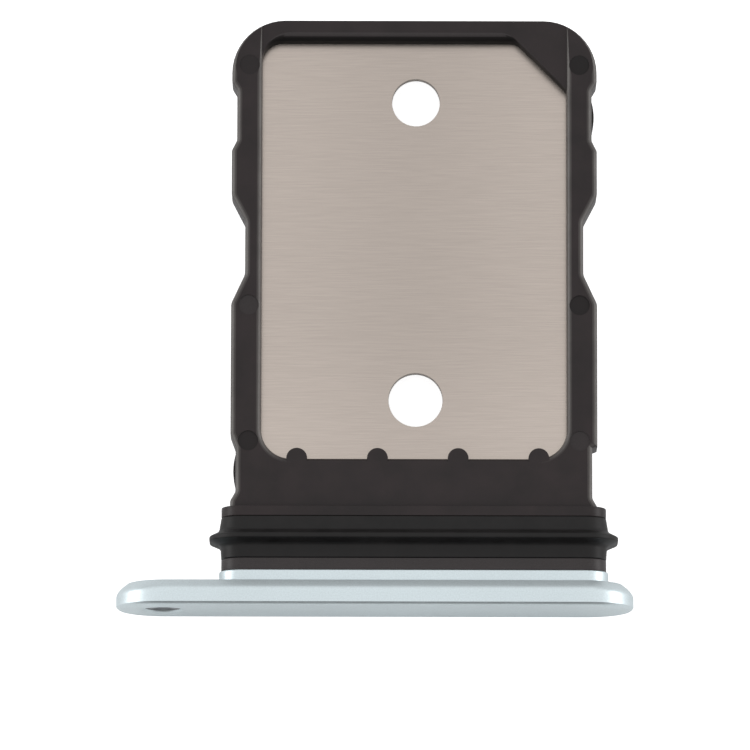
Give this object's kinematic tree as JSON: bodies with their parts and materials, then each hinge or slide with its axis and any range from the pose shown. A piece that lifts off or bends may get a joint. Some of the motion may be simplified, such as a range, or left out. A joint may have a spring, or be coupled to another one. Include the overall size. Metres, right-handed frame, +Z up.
{
  "type": "sim card tray",
  "caption": "Flat tray that carries one nano SIM card into the side of a phone, with a metal end cap, a moulded frame, a steel floor and a rubber seal.",
  "frame": {"origin": "under the middle of the tray: halfway along its length and across its cap, at the level of the cap's underside", "axes": "+Y the way the tray slides into the phone, -Y out of the cap's outer face; +Z up on the card side; +X to the right as seen from the cap, with the pin hole at the -X end"},
  "size_m": [0.0154, 0.0178, 0.0028],
  "materials": {
    "anodised_cap": "bead-blasted and anodised pale blue",
    "moulded_frame": "black glass-filled plastic, satin from the mould",
    "brushed_plate": "stainless sheet, brushed across the tray",
    "rubber_seal": "black silicone rubber, matte"
  },
  "bodies": {
    "root": {"face_cap": "anodised_cap", "carrier_frame": "moulded_frame", "card_plate": "brushed_plate", "seal_ring": "rubber_seal"}
  },
  "joints": []
}
